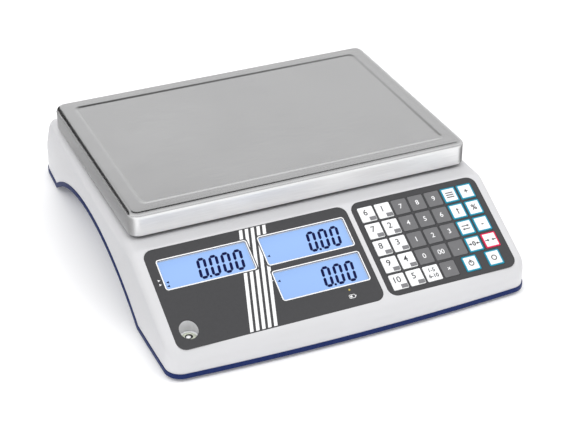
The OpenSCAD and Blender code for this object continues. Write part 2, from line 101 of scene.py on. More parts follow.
# windows, print and overlays on the console
WINDOW = (74.2, 26)
WEIGHT_WINDOW = (-138.4, 12.5)
UNIT_WINDOW = (-53, 12.3)
TOTAL_WINDOW = (-53, 45.4)
WINDOWS = (WEIGHT_WINDOW, UNIT_WINDOW, TOTAL_WINDOW)
FRAME_W = 0.9
FRAME_PLAY = 0.1
STRIPES = 5
STRIPE_X = -63.5
STRIPE_W = 2.8
STRIPE_PITCH = 5
STRIPE_LEAN = 0.265
STRIPE_MARGIN = 1
OVERLAYS = ((-147.4, 27.3), (31.3, 147.3))
OVERLAY_S = 1.3
OVERLAY_H = 90.6
OVERLAY_R = 8
OVERLAY_TOP = 0.2
RECESS_Z = (-0.6, 6)
HOLE_Z = (-4, 5)
KEY_HOLE = (35, 5, 108.5, 84.5)
# keys
KEY_W = 13.4
KEY_H = 14.2
KEY_X0 = 36.3
KEY_S0 = 7.3
PITCH_X = 15.3
PITCH_S = 16.4
KEY_TOP = 0.5
KEY_T = 2.4
KEY_PLAY = 0.05
KEY_GAP = 0.25
KEY_ON_X = 102.5
KEY_OFF_X = 123.7
RIM_W = 1.25
RIM_INK_T = 0.02
# level, power socket and printed film
LEVEL_X = -133.9
LEVEL_S = 75.8
LEVEL_Y = CREST_Y - LEVEL_S * math.cos(TILT)
LEVEL_R = 7.5
CUP_LOW_Z = 18
CUP_FLOOR_Z = 20.5
ABOVE_LEVEL_Z = 60
VIAL_TOP_Z = 27.5
SOCKET_X = -66
SOCKET_S = 40
SOCKET_PIN_R = 1
INK_T = 0.05
INK_SINK = 0.02
FILM_LOW = -0.58
FILM_GAP = 0.15
# display glasses and boards
LCD_T = 6
BOARD_T = 1.6
MAIN_BOARD_AT = (-78, 8)
MAIN_BOARD_SIZE = (100, 72)
KEYPAD_BOARD_AT = (32.8, 3)
KEYPAD_BOARD_SIZE = (112, 87)
CHIP_X0 = 8
CHIP_PITCH = 23
CHIP_S = 40
LEG_PITCH = 1.27
LEG_W = 0.5
LEG_REACH = 1
LEG_T = 0.25


# ---- materials
NOISE_ROUGHNESS = 0.55
TINT_STOPS = (0.3, 0.7)
EDGE_POINTINESS = (0.5, 0.62)


def node_material(name, base, roughness, metallic=0.0, **sockets):
    """A principled material; sockets gives further shader inputs by name."""
    mat = bpy.data.materials.new(name)
    mat.use_nodes = True
    shader = mat.node_tree.nodes["Principled BSDF"]
    shader.inputs["Base Color"].default_value = (*base, 1)
    shader.inputs["Roughness"].default_value = roughness
    shader.inputs["Metallic"].default_value = metallic
    for key, value in sockets.items():
        shader.inputs[key.replace("_", " ")].default_value = value
    return mat


def add(mat, kind, **values):
    """A new node in a material or world; values are properties, or inputs where the name has a capital."""
    node = mat.node_tree.nodes.new(kind)
    for key, value in values.items():
        if key[0].isupper():
            node.inputs[key.replace("_", " ")].default_value = value
        else:
            setattr(node, key, value)
    return node


def link(mat, a, b):
    mat.node_tree.links.new(a, b)


def shader_of(mat):
    return mat.node_tree.nodes["Principled BSDF"]


def feed(mat, name, value):
    """Links value to the shader's input of that name."""
    link(mat, value, shader_of(mat).inputs[name])


def noise(mat, scale, stretch=(1, 1, 1), detail=4):
    """Noise over the object's own coordinates, scale in cycles per metre, stretched by axis."""
    coords = add(mat, "ShaderNodeTexCoord")
    mapping = add(mat, "ShaderNodeMapping", Scale=stretch)
    node = add(mat, "ShaderNodeTexNoise", Scale=scale, Detail=detail, Roughness=NOISE_ROUGHNESS)
    link(mat, coords.outputs["Object"], mapping.inputs["Vector"])
    link(mat, mapping.outputs["Vector"], node.inputs["Vector"])
    return node.outputs["Fac"]


def spread(mat, value, low, high):
    """Maps a 0..1 value to low..high."""
    node = add(mat, "ShaderNodeMapRange", To_Min=low, To_Max=high)
    link(mat, value, node.inputs["Value"])
    return node.outputs["Result"]


def tint(mat, value, dark, light):
    """Colour between dark and light by value."""
    ramp = add(mat, "ShaderNodeValToRGB")
    for element, position, colour in zip(ramp.color_ramp.elements, TINT_STOPS, (dark, light)):
        element.position = position
        element.color = (*colour, 1)
    link(mat, value, ramp.inputs["Fac"])
    return ramp.outputs["Color"]


def edge_mask(mat):
    """1 on convex edges, 0 elsewhere."""
    geometry = add(mat, "ShaderNodeNewGeometry")
    ramp = add(mat, "ShaderNodeMapRange", From_Min=EDGE_POINTINESS[0], From_Max=EDGE_POINTINESS[1])
    link(mat, geometry.outputs["Pointiness"], ramp.inputs["Value"])
    return ramp.outputs["Result"]


def mix(mat, factor, a, b):
    node = add(mat, "ShaderNodeMix", data_type="RGBA")
    link(mat, factor, node.inputs[0])
    for socket, value in ((node.inputs[6], a), (node.inputs[7], b)):
        if isinstance(value, tuple):
            socket.default_value = (*value, 1)
        else:
            link(mat, value, socket)
    return node.outputs[2]


def bump(mat, height, strength, distance):
    node = add(mat, "ShaderNodeBump", Strength=strength, Distance=distance)
    link(mat, height, node.inputs["Height"])
    feed(mat, "Normal", node.outputs["Normal"])


def shade(base, share):
    return tuple(c * share for c in base)


def moulded(name, base, roughness, grain=2600, worn=0.06, **sockets):
    """Moulded plastic: fine spark-eroded grain, slow tone drift, edges rubbed a little paler."""
    mat = node_material(name, base, roughness, **sockets)
    dark = shade(base, 0.965)
    pale = tuple(min(1, c * 1.02 + worn) for c in base)
    drift = tint(mat, noise(mat, 14), dark, base)
    feed(mat, "Base Color", mix(mat, edge_mask(mat), drift, pale))
    feed(mat, "Roughness", spread(mat, noise(mat, 60), roughness - 0.05, roughness + 0.07))
    bump(mat, noise(mat, grain, detail=2), 0.12, 0.00012)
    return mat


def metal(name, base, roughness, stretch=(1, 1, 1), grain=900, strength=0.08, **sockets):
    """Metal with a grain along one axis and uneven polish."""
    mat = node_material(name, base, roughness, 1.0, **sockets)
    lines = noise(mat, grain, stretch, detail=3)
    fine = tint(mat, lines, shade(base, 0.94), base)
    worn = tint(mat, lines, shade(base, 0.85), shade(base, 0.93))
    patches = spread(mat, noise(mat, 5, stretch=(2.2, 0.5, 1), detail=2), 0, 1)
    feed(mat, "Base Color", mix(mat, patches, fine, worn))
    blotch = spread(mat, noise(mat, 9, stretch=(1, 1.6, 1)), roughness - 0.05, roughness + 0.07)
    feed(mat, "Roughness", blotch)
    bump(mat, lines, strength, 0.00005)
    return mat


def printed(name, base, roughness=0.45, **sockets):
    """Printed film: even colour with the faint mottle of screen printing."""
    mat = node_material(name, base, roughness, **sockets)
    feed(mat, "Base Color", tint(mat, noise(mat, 420, detail=3), shade(base, 0.93), base))
    feed(mat, "Roughness", spread(mat, noise(mat, 45), roughness - 0.05, roughness + 0.08))
    bump(mat, noise(mat, 3200, detail=1), 0.05, 0.00004)
    return mat


HOUSING = moulded("housing_plastic", (0.60, 0.60, 0.615), 0.45)
BASE = moulded("base_plastic", (0.006, 0.018, 0.10), 0.5, worn=0.006, Specular_IOR_Level=0.14)
RUBBER = moulded("rubber", (0.03, 0.03, 0.032), 0.8, grain=1500, worn=0.02)
BLACK = moulded("black_plastic", (0.035, 0.035, 0.038), 0.45, worn=0.03)
BATTERY = moulded("battery_case", (0.05, 0.05, 0.055), 0.55, worn=0.03)
PAN_STEEL = metal("pan_steel", (0.71, 0.71, 0.715), 0.22, stretch=(0.04, 1, 1), grain=1400)
# the skirt's steel is the pan's own steel painted brighter: a painted sheen for the light the skirt
# catches; only its rougher finish is real
SKIRT_STEEL_PAINTED_BRIGHT = metal("skirt_steel_painted_bright", (0.88, 0.88, 0.885), 0.36, stretch=(0.04, 1, 1), grain=1400)
CAST = metal("cast_alloy", (0.60, 0.61, 0.63), 0.52, grain=700, strength=0.3)
CELL = metal("cell_alloy", (0.72, 0.72, 0.74), 0.32, stretch=(0.1, 1, 1), grain=1100)
PLATE = metal("plate_steel", (0.58, 0.59, 0.61), 0.38, stretch=(1, 0.1, 1))
ZINC = metal("fastener_zinc", (0.66, 0.67, 0.70), 0.28, grain=500)
FILM = printed("overlay_film", (0.055, 0.055, 0.058), 0.5, Specular_IOR_Level=0.3)
INK_WHITE = printed("ink_white", (0.88, 0.88, 0.89))
KEY_WHITE = printed("key_white", (0.86, 0.87, 0.88))
KEY_GREY = printed("key_grey", (0.149, 0.149, 0.155))
INK_BLACK = printed("ink_black", (0.03, 0.03, 0.035))
INK_TEAL = printed("ink_teal", (0.0, 0.28, 0.42))
INK_RED = printed("ink_red", (0.72, 0.01, 0.08))
INK_GREY = printed("ink_grey", (0.20, 0.20, 0.21))
INK_AMBER = printed("ink_amber", (0.55, 0.42, 0.08))
CHIP = moulded("chip_plastic", (0.02, 0.02, 0.022), 0.5, worn=0.01)
NYLON = moulded("connector_nylon", (0.66, 0.64, 0.56), 0.4)
LEAD = metal("terminal_tin", (0.70, 0.70, 0.68), 0.35, grain=600)


def display_glass():
    """Backlit display: pale blue glow that drifts a little."""
    mat = node_material("display_glass", (0.06, 0.10, 0.26), 0.2, Specular_IOR_Level=0.2)
    glow = tint(mat, noise(mat, 6, detail=1), (0.28, 0.43, 0.66), (0.31, 0.47, 0.70))
    feed(mat, "Emission Color", glow)
    shader_of(mat).inputs["Emission Strength"].default_value = 1.0
    feed(mat, "Roughness", spread(mat, noise(mat, 80), 0.12, 0.22))
    return mat


def board_mask():
    """Green solder mask over paler copper tracks, with bare runs between the groups of tracks."""
    mat = node_material("board_mask", (0.02, 0.13, 0.06), 0.35)
    coords = add(mat, "ShaderNodeTexCoord")
    tracks = add(mat, "ShaderNodeTexBrick", Scale=120, Mortar_Size=0.03, Brick_Width=2.2, Row_Height=0.14)
    link(mat, coords.outputs["Object"], tracks.inputs["Vector"])
    groups = spread(mat, noise(mat, 55, detail=1), -2, 3)
    shown = add(mat, "ShaderNodeMath", operation="MULTIPLY", use_clamp=True)
    link(mat, tracks.outputs["Fac"], shown.inputs[0])
    link(mat, groups, shown.inputs[1])
    mask = tint(mat, noise(mat, 300), (0.017, 0.11, 0.05), (0.02, 0.13, 0.06))
    feed(mat, "Base Color", mix(mat, shown.outputs["Value"], mask, (0.06, 0.30, 0.13)))
    feed(mat, "Roughness", spread(mat, noise(mat, 90), 0.28, 0.42))
    bump(mat, shown.outputs["Value"], 0.3, 0.00004)
    return mat


def segment_ink():
    mat = node_material("segment_ink", (0.004, 0.006, 0.05), 0.6, Specular_IOR_Level=0.1)
    feed(mat, "Base Color", tint(mat, noise(mat, 300), (0.003, 0.005, 0.04), (0.006, 0.01, 0.07)))
    return mat


def clear_liquid():
    mat = node_material("vial_liquid", (0.84, 0.88, 0.74), 0.05, Transmission_Weight=0.3, IOR=1.36)
    feed(mat, "Roughness", spread(mat, noise(mat, 200), 0.03, 0.08))
    return mat


BOARD = board_mask()
DISPLAY = display_glass()
SEGMENT = segment_ink()
LIQUID = clear_liquid()


# ---- mesh helpers
def add_object(name, data):
    obj = bpy.data.objects.new(name, data)
    bpy.context.scene.collection.objects.link(obj)
    return obj


def assign(obj, body, node):
    """Puts a piece on the body it rides on, and hides the CAD node it replaces."""
    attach(obj, body)
    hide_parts(node)


def finish(node, parts, body, angle):
    """The piece that replaces a CAD node, joined from parts."""
    obj = join(node + "_visual", parts)
    tidy(obj, angle)
    assign(obj, body, node)


def smooth(obj):
    obj.data.polygons.foreach_set("use_smooth", [True] * len(obj.data.polygons))


def quarter(steps):
    """Angles from 0 to 90 degrees in even steps."""
    return [math.radians(90 * k / steps) for k in range(steps + 1)]


def build(name, verts, faces, mats, place=None):
    """A mesh object from points in millimetres; place is a matrix in millimetres."""
    place = place or Matrix.Identity(4)
    mesh = bpy.data.meshes.new(name)
    mesh.from_pydata([tuple(place @ Vector(v) * MM) for v in verts], [], faces)
    for mat in mats:
        mesh.materials.append(mat)
    mesh.update()
    return add_object(name, mesh)


def tidy(obj, angle):
    """Outward normals, smooth faces and sharp edges above angle."""
    bm = bmesh.new()
    bm.from_mesh(obj.data)
    bmesh.ops.remove_doubles(bm, verts=bm.verts, dist=WELD)
    bmesh.ops.recalc_face_normals(bm, faces=bm.faces)
    bm.to_mesh(obj.data)
    bm.free()
    smooth(obj)
    obj.data.set_sharp_from_angle(angle=math.radians(angle))


def bake_modifiers(obj):
    """Replaces the mesh with what its modifiers make."""
    graph = bpy.context.evaluated_depsgraph_get()
    graph.update()
    mesh = bpy.data.meshes.new_from_object(obj.evaluated_get(graph))
    old = obj.data
    obj.modifiers.clear()
    obj.data = mesh
    mesh.name = obj.name
    bpy.data.meshes.remove(old)


def carve(obj, cutters, operation="DIFFERENCE"):
    """Cuts, joins or intersects obj with each cutter in turn, and removes the cutters."""
    for cutter in cutters:
        mod = obj.modifiers.new("carve", "BOOLEAN")
        mod.operation = operation
        mod.solver = "EXACT"
        mod.object = cutter
    bake_modifiers(obj)
    for cutter in cutters:
        bpy.data.objects.remove(cutter)
    return obj


def even_shading(obj, angle=32):
    """Weights normals by face area so that flat faces stay flat beside rounded edges."""
    tidy(obj, angle)
    mod = obj.modifiers.new("normals", "WEIGHTED_NORMAL")
    mod.keep_sharp = True
    bake_modifiers(obj)


def ease(obj, width, segments, angle):
    """Rounds the edges above angle by width millimetres."""
    mod = obj.modifiers.new("ease", "BEVEL")
    mod.width = width * MM
    mod.segments = segments
    mod.limit_method = "ANGLE"
    mod.angle_limit = math.radians(angle)
    mod.miter_outer = "MITER_ARC"
    bake_modifiers(obj)


def join(name, parts):
    """One object from several, keeping each part's materials."""
    bm = bmesh.new()
    mats = []
    for part in parts:
        own = list(part.data.materials)
        mats += [m for m in own if m not in mats]
        part.data.transform(part.matrix_world)
        start = len(bm.faces)
        bm.from_mesh(part.data)
        bm.faces.ensure_lookup_table()
        for face in bm.faces[start:]:
            face.material_index = mats.index(own[face.material_index])
    mesh = bpy.data.meshes.new(name)
    bm.to_mesh(mesh)
    bm.free()
    for mat in mats:
        mesh.materials.append(mat)
    for part in parts:
        bpy.data.objects.remove(part)
    return add_object(name, mesh)


def loft(name, rings, mats, place=None, loop=False):
    """Quads between rings of equal length; loop joins the last ring to the first, else both get a face."""
    count = len(rings[0])
    verts = [v for ring in rings for v in ring]
    faces = []
    for k in range(len(rings) if loop else len(rings) - 1):
        low, high = k * count, (k + 1) % len(rings) * count
        for i in range(count):
            j = (i + 1) % count
            faces.append((low + i, low + j, high + j, high + i))
    if not loop:
        faces.append(tuple(reversed(range(count))))
        faces.append(tuple(range(high, high + count)))
    return build(name, verts, faces, mats, place)


def ring_at(points, z):
    return [(x, y, z) for x, y in points]


def rounded_rect(x, y, w, h, r, steps=6):
    """Anticlockwise points of a rectangle from (x, y) with rounded corners."""
    r = max(r, SMALLEST_R)
    points = []
    left, right, low, high = x + r, x + w - r, y + r, y + h - r
    for cx, cy, start in ((right, low, -90), (right, high, 0), (left, high, 90), (left, low, 180)):
        for k in range(steps + 1):
            a = math.radians(start + 90 * k / steps)
            points.append((cx + r * math.cos(a), cy + r * math.sin(a)))
    return points


def circle(x, y, r, steps=48):
    r = max(r, SMALLEST_R)
    turns = [2 * math.pi * k / steps for k in range(steps)]
    return [(x + r * math.cos(a), y + r * math.sin(a)) for a in turns]


def prism(points, z0, z1, mats, place=None, edge=0.0):
    """Upright solid on points; edge rounds its top rim by that much, for a convex centred outline."""
    rings = [ring_at(points, z0), ring_at(points, z1 - edge)]
    if edge:
        cx = sum(p[0] for p in points) / len(points)
        cy = sum(p[1] for p in points) / len(points)
        half_w = max(p[0] for p in points) - cx
        half_h = max(p[1] for p in points) - cy
        for a in quarter(3)[1:]:
            d = edge * (1 - math.cos(a))
            sx, sy = 1 - d / half_w, 1 - d / half_h
            z = z1 - edge + edge * math.sin(a)
            rings.append([(cx + (x - cx) * sx, cy + (y - cy) * sy, z) for x, y in points])
    return loft("solid", rings, mats, place)


def lathe(name, profile, mats, x=0.0, y=0.0, steps=48, place=None):
    """Solid of revolution from (radius, z) points; its first and last rings are closed by a face."""
    rings = [ring_at(circle(x, y, r, steps), z) for r, z in profile]
    return loft(name, rings, mats, place)


def console():
    """Console frame: x across, y up the slope, z out of the surface, origin on the crest."""
    return Matrix.Translation((0, CREST_Y, DECK_Z)) @ Matrix.Rotation(TILT, 4, "X")


CONSOLE = console()


def plate(x, s, w, h, r, z0, z1, mats, edge=0.0):
    """Rounded plate on the console; s is the distance of its upper edge down the slope."""
    return prism(rounded_rect(x, -s - h, w, h, r), z0, z1, mats, CONSOLE, edge)


# ---- plan of the base
TAPER = math.atan((BASE_FRONT_W - BASE_BACK_W) / 2 / BASE_D)
MID_HALF_W = (BASE_FRONT_W + BASE_BACK_W) / 4
SIDE_R = math.hypot((BASE_FRONT_W - BASE_BACK_W) / 2, BASE_D) ** 2 / (8 * SIDE_BOW) + SIDE_BOW / 2
SIDE_CENTRE = (MID_HALF_W + math.cos(TAPER) * (SIDE_BOW - SIDE_R), math.sin(TAPER) * (SIDE_BOW - SIDE_R))


def bow_centre(end):
    return (0, end * (BASE_D / 2 - END_BOW_R))


def corner_centre(end, r):
    """Where the end's and the side's circles meet when shrunk by r."""
    f, g = bow_centre(end), SIDE_CENTRE
    rf, rg = END_BOW_R - r, SIDE_R - r
    gap = math.hypot(g[0] - f[0], g[1] - f[1])
    along = ((g[0] - f[0]) / gap, (g[1] - f[1]) / gap)
    reach = (rf * rf - rg * rg + gap * gap) / (2 * gap)
    side = math.sqrt(rf * rf - reach * reach) * end
    return (f[0] + along[0] * reach + along[1] * side, f[1] + along[1] * reach - along[0] * side)


def arc(centre, r, a0, a1, steps):
    """(point, outward normal) pairs, without the last point."""
    out = []
    for k in range(steps):
        a = a0 + (a1 - a0) * k / steps
        n = (math.cos(a), math.sin(a))
        out.append(((centre[0] + r * n[0], centre[1] + r * n[1]), n))
    return out


def direction(a, b):
    return math.atan2(b[1] - a[1], b[0] - a[0])


def plan():
    """The base's outline from the middle of the front, anticlockwise, as (point, outward normal) pairs."""
    end_steps, corner_steps, side_steps = 16, 14, 90
    front, back = corner_centre(-1, FRONT_CORNER_R), corner_centre(1, BACK_CORNER_R)
    front_a, back_a = direction(bow_centre(-1), front), direction(bow_centre(1), back)
    side_a0, side_a1 = direction(SIDE_CENTRE, front), direction(SIDE_CENTRE, back)
    half = arc(bow_centre(-1), END_BOW_R, -math.pi / 2, front_a, end_steps)
    half += arc(front, FRONT_CORNER_R, front_a, side_a0, corner_steps)
    half += arc(SIDE_CENTRE, SIDE_R, side_a0, side_a1, side_steps)
    half += arc(back, BACK_CORNER_R, side_a1, back_a, corner_steps)
    half += arc(bow_centre(1), END_BOW_R, back_a, math.pi / 2, end_steps)
    top = ((0.0, BASE_D / 2), (0.0, 1.0))
    return half + [top] + [((-p[0], p[1]), (-n[0], n[1])) for p, n in reversed(half[1:])]


PLAN = plan()


def plan_ring(inset, z):
    return [(p[0] - n[0] * inset, p[1] - n[1] * inset, z) for p, n in PLAN]


# ---- housing
def rounded_bend(y, at, r, slope_before, slope_after):
    """Drop below the sharp corner at depth `at` where two slopes meet in a rounding of radius r."""
    a0, a1 = math.atan(slope_before), math.atan(slope_after)
    turn = (a0 - a1) / 2
    reach = r * math.tan(turn)
    # circle centre below the corner, on the bisector
    mid = (a0 + a1) / 2
    cy = at + (r / math.cos(turn)) * math.sin(mid)
    cz = -(r / math.cos(turn)) * math.cos(mid)
    y0, y1 = at - reach * math.cos(a0), at + reach * math.cos(a1)
    if not y0 < y < y1:
        return None
    return cz + math.sqrt(r * r - (y - cy) ** 2)


BACK_SLOPE = -(DECK_Z - BACK_FOOT[1]) / (BACK_FOOT[0] - BACK_CREST_Y)
BACK_TILT = math.atan(-BACK_SLOPE)


def top_height(y, inset=0.0):
    """Height of the housing's top surface at depth y; inset lowers it square to each slope."""
    front = DECK_Z + (y - CREST_Y) * math.tan(TILT) - inset / math.cos(TILT)
    back = DECK_Z + (y - BACK_CREST_Y) * BACK_SLOPE - inset / math.cos(BACK_TILT)
    deck = DECK_Z - inset
    for at, r, before, after in (
        (CREST_Y, CREST_R, math.tan(TILT), 0),
        (BACK_CREST_Y, BACK_CREST_R, 0, BACK_SLOPE),
    ):
        bend = rounded_bend(y, at, r, before, after)
        if bend is not None:
            return deck + bend
    return min(front, deck, back)


def housing_stations():
    """Depths where the top is cut into strips: dense over both rounded crests."""
    front_reach = CREST_R * math.tan(TILT / 2)
    back_reach = BACK_CREST_R * math.tan(BACK_TILT / 2)
    y0, y1 = CREST_Y - front_reach * math.cos(TILT), CREST_Y + front_reach
    y2, y3 = BACK_CREST_Y - back_reach, BACK_CREST_Y + back_reach * math.cos(BACK_TILT)
    first = [y0 + (y1 - y0) * k / 6 for k in range(7)]
    second = [y2 + (y3 - y2) * k / 10 for k in range(11)]
    return first + second


def edge_radius(p, n):
    """Rounding of the top edge at an outline point: larger in front, small where the back slope ends."""
    frontness = max(0.0, -n[1])
    r = SIDE_EDGE_R + (FRONT_EDGE_R - SIDE_EDGE_R) * frontness
    room = (top_height(p[1]) - PARTING_Z) / 2
    return min(r, max(LOW_EDGE_R, room))


def housing_form(name, inset):
    """The housing as a solid reaching below the parting line, moved inwards by inset."""
    curve = [[] for _ in range(EDGE_STEPS + 1)]
    for p, n in PLAN:
        r = max(edge_radius(p, n) - EDGE_SHRINK * inset, INNER_EDGE_R)
        x0 = p[0] - n[0] * (HOUSING_STEP + inset)
        y0 = p[1] - n[1] * (HOUSING_STEP + inset)
        for ring, a in zip(curve, quarter(EDGE_STEPS)):
            d = r * (1 - math.cos(a))
            x, y = x0 - n[0] * d, y0 - n[1] * d
            ring.append((x, y, max(top_height(y, inset) - r * (1 - math.sin(a)), LOWEST_EDGE_Z)))
    obj = loft(name, [plan_ring(HOUSING_STEP + inset, 0)] + curve, [HOUSING])
    bm = bmesh.new()
    bm.from_mesh(obj.data)
    bm.faces.ensure_lookup_table()
    top = [max(bm.faces, key=lambda f: (len(f.verts), f.calc_center_median().z))]
    for station in housing_stations():
        geom = set()
        for face in top:
            geom.update([face, *face.edges, *face.verts])
        at = (0, station * MM, 0)
        cut = bmesh.ops.bisect_plane(bm, geom=list(geom), plane_co=at, plane_no=(0, 1, 0), dist=1e-7)
        found = {g for g in cut["geom"] + cut["geom_cut"] if isinstance(g, bmesh.types.BMFace)}
        top = list(found | {f for f in top if f.is_valid})
    for face in top:
        for v in face.verts:
            v.co.z = top_height(v.co.y / MM, inset) * MM
    bmesh.ops.recalc_face_normals(bm, faces=bm.faces)
    bm.to_mesh(obj.data)
    bm.free()
    return obj


def arch_cylinder(r):
    """Solid across the whole base, concentric with the hand-grip arch."""
    turn = Matrix.Translation((0, ARCH_Y, ARCH_Z)) @ Matrix.Rotation(math.radians(90), 4, "Y")
    return prism(circle(0, 0, r, 360), -ARCH_REACH, ARCH_REACH, [HOUSING], turn)


def block(low, high, mats):
    w, h = high[0] - low[0], high[1] - low[1]
    return prism(rounded_rect(low[0], low[1], w, h, SMALLEST_R, 1), low[2], high[2], mats)


def top_housing():
    """Hollow housing with a cup for the level, and with its recesses, windows and holes cut."""
    body = housing_form("top_housing_visual", 0)
    carve(body, [housing_form("inner", WALL)])
    cup = prism(circle(LEVEL_X, LEVEL_Y, LEVEL_R + WALL), CUP_LOW_Z, ABOVE_LEVEL_Z, [HOUSING])
    carve(cup, [housing_form("mid_wall", WALL / 2)], "INTERSECT")
    carve(body, [cup], "UNION")
    cutters = [block(*BELOW_PARTING, [HOUSING])]
    cutters.append(arch_cylinder(ARCH_R + FLANGE_H))
    for left, right in OVERLAYS:
        cutters.append(plate(left, OVERLAY_S, right - left, OVERLAY_H, OVERLAY_R, *RECESS_Z, [HOUSING]))
    for x, s in WINDOWS:
        cutters.append(plate(x, s, *WINDOW, 1.2, *HOLE_Z, [HOUSING]))
    cutters.append(plate(*KEY_HOLE, 3, *HOLE_Z, [HOUSING]))
    cutters.append(block(*CELL_WELL, [HOUSING]))
    cutters.append(prism(circle(LEVEL_X, LEVEL_Y, LEVEL_R), CUP_FLOOR_Z, ABOVE_LEVEL_Z, [HOUSING]))
    carve(body, cutters)
    even_shading(body)
    assign(body, "base", "top_housing")


top_housing()


# ---- pan
def pan_ring(inset, z, r):
    w, d = PAN_W - 2 * inset, PAN_D - 2 * inset
    return ring_at(rounded_rect(-w / 2, PAN_Y - d / 2, w, d, r, 10), z)


def weighing_pan():
    """Folded sheet: framed panel, wide bend and skirt, lofted as one closed shell."""
    bend, corner, top, m = PAN_BEND_R, PAN_CORNER_R, PAN_TOP_Z, PANEL_MARGIN
    panel = top - PANEL_DROP
    rings = [pan_ring(m + 22, top - PANEL_ROLL, 4)]
    for k in range(EDGE_STEPS + 1):
        u = k / EDGE_STEPS
        rings.append(pan_ring(m + 2 - 4 * u, top - PANEL_ROLL * (1 - 3 * u * u + 2 * u ** 3), 5))
    for a in quarter(EDGE_STEPS):
        d = bend * (1 - math.sin(a))
        rings.append(pan_ring(d, top - bend * (1 - math.cos(a)), corner - d))
    bottom = top - SKIRT_H
    rings += [pan_ring(0, z, corner) for z in (top - bend - 1, (top + bottom) / 2, bottom + 0.6)]
    lip = ((0.12, 0.2), (0.45, 0), (0.75, 0), (1.08, 0.2), (SHEET, 0.6))
    rings += [pan_ring(d, bottom + h, corner - d) for d, h in lip]
    inner = bend - SHEET
    for a in reversed(quarter(EDGE_STEPS)):
        d = SHEET + inner * (1 - math.sin(a))
        rings.append(pan_ring(d, top - SHEET - inner * (1 - math.cos(a)), corner - d))
    rings += [pan_ring(m - 2, top - SHEET, 5), pan_ring(m - 0.5, top - SHEET, 5)]
    rings += [pan_ring(m + 0.6, panel - SHEET, 5), pan_ring(m + 22, panel - SHEET, 4)]
    pan = loft("weighing_pan_visual", rings, [PAN_STEEL, SKIRT_STEEL_PAINTED_BRIGHT])
    even_shading(pan, 50)
    # the upright skirt faces take the brighter copy of the steel, which is painted light
    skirt_top = (top - 0.7 * bend) * MM
    for face in pan.data.polygons:
        if abs(face.normal.z) < 0.7 and face.center.z < skirt_top:
            face.material_index = 1
    assign(pan, "pan", "weighing_pan")


weighing_pan()


# ---- printed shapes on the console
def ink(points, mat, z=OVERLAY_TOP, t=INK_T):
    """A thin printed shape; points are (x, s) on the console."""
    flat = [(x, -s) for x, s in points]
    area = sum(a[0] * b[1] - b[0] * a[1] for a, b in zip(flat, flat[1:] + flat[:1]))
    if area < 0:
        flat.reverse()
    return prism(flat, z - INK_SINK, z + t, [mat], CONSOLE)


def ink_bar(x, s, w, h, mat, z=OVERLAY_TOP):
    return ink([(x, s), (x + w, s), (x + w, s + h), (x, s + h)], mat, z)


def ink_frame(x, s, w, h, r, thick, mat, z=OVERLAY_TOP):
    """A printed rounded frame whose inner edge is the given rectangle."""
    inner = rounded_rect(x, -s - h, w, h, r)
    outer = rounded_rect(x - thick, -s - h - thick, w + 2 * thick, h + 2 * thick, r + thick)
    low, high = z - INK_SINK, z + INK_T
    rings = [ring_at(inner, low), ring_at(inner, high), ring_at(outer, high), ring_at(outer, low)]
    return loft("frame", rings, [mat], CONSOLE, loop=True)


def glyph(text, x, s, size, mat, bold):
    """Numerals or signs on a key's top, centred on (x, s), in Blender's own font; bold widens them."""
    curve = bpy.data.curves.new("glyph", "FONT")
    curve.body = text
    curve.align_x = "CENTER"
    curve.align_y = "CENTER"
    curve.size = size * MM
    curve.extrude = (INK_T + INK_SINK) / 2 * MM
    curve.offset = bold * MM
    source = add_object("glyph", curve)
    graph = bpy.context.evaluated_depsgraph_get()
    graph.update()
    mesh = bpy.data.meshes.new_from_object(source.evaluated_get(graph))
    bpy.data.objects.remove(source)
    place = CONSOLE @ Matrix.Translation((x, -s, KEY_TOP + (INK_T - INK_SINK) / 2))
    place.translation *= MM
    mesh.transform(place)
    mesh.materials.clear()
    mesh.materials.append(mat)
    return add_object("glyph", mesh)


def pinstripes():
    """Even white stripes that lean to the left down the slope and stop short of the windows."""
    top, bottom = OVERLAY_S + STRIPE_MARGIN, OVERLAY_S + OVERLAY_H - STRIPE_MARGIN
    half = STRIPE_W / 2
    bands = []
    for k in range(STRIPES):
        a = STRIPE_X + k * STRIPE_PITCH - STRIPE_LEAN * top
        b = STRIPE_X + k * STRIPE_PITCH - STRIPE_LEAN * bottom
        corners = [(a - half, top), (a + half, top), (b + half, bottom), (b - half, bottom)]
        bands.append(ink(corners, INK_WHITE))
    gap = FRAME_W + STRIPE_MARGIN
    w, h = WINDOW[0] + 2 * gap, WINDOW[1] + 2 * gap
    cutters = [plate(x - gap, s - gap, w, h, 2, -1, 2, [INK_WHITE]) for x, s in WINDOWS]
    return carve(join("stripes", bands), cutters)


def window_frames():
    w, h = WINDOW[0] + 2 * FRAME_PLAY, WINDOW[1] + 2 * FRAME_PLAY
    return [ink_frame(x - FRAME_PLAY, s - FRAME_PLAY, w, h, 1.6, FRAME_W, INK_WHITE) for x, s in WINDOWS]


def film(left, right):
    """An overlay's sheet of printed film in its recess."""
    w, h = right - left - 2 * FILM_GAP, OVERLAY_H - 2 * FILM_GAP
    x, s = left + FILM_GAP, OVERLAY_S + FILM_GAP
    return plate(x, s, w, h, OVERLAY_R, FILM_LOW, OVERLAY_TOP, [FILM], FILM_GAP)


def lamp_and_battery_sign():
    """The lamp beside the lower right window, and the small sign of a charged battery under it."""
    return [
        ink(circle(1.0, 76.4, 0.8, 20), INK_AMBER),
        ink_frame(-1.2, 81.2, 4.6, 2.6, 0.5, 0.4, INK_WHITE),
        ink_bar(3.9, 82.0, 0.7, 1.0, INK_WHITE),
        ink_bar(-0.7, 81.7, 1.9, 1.6, INK_WHITE),
    ]


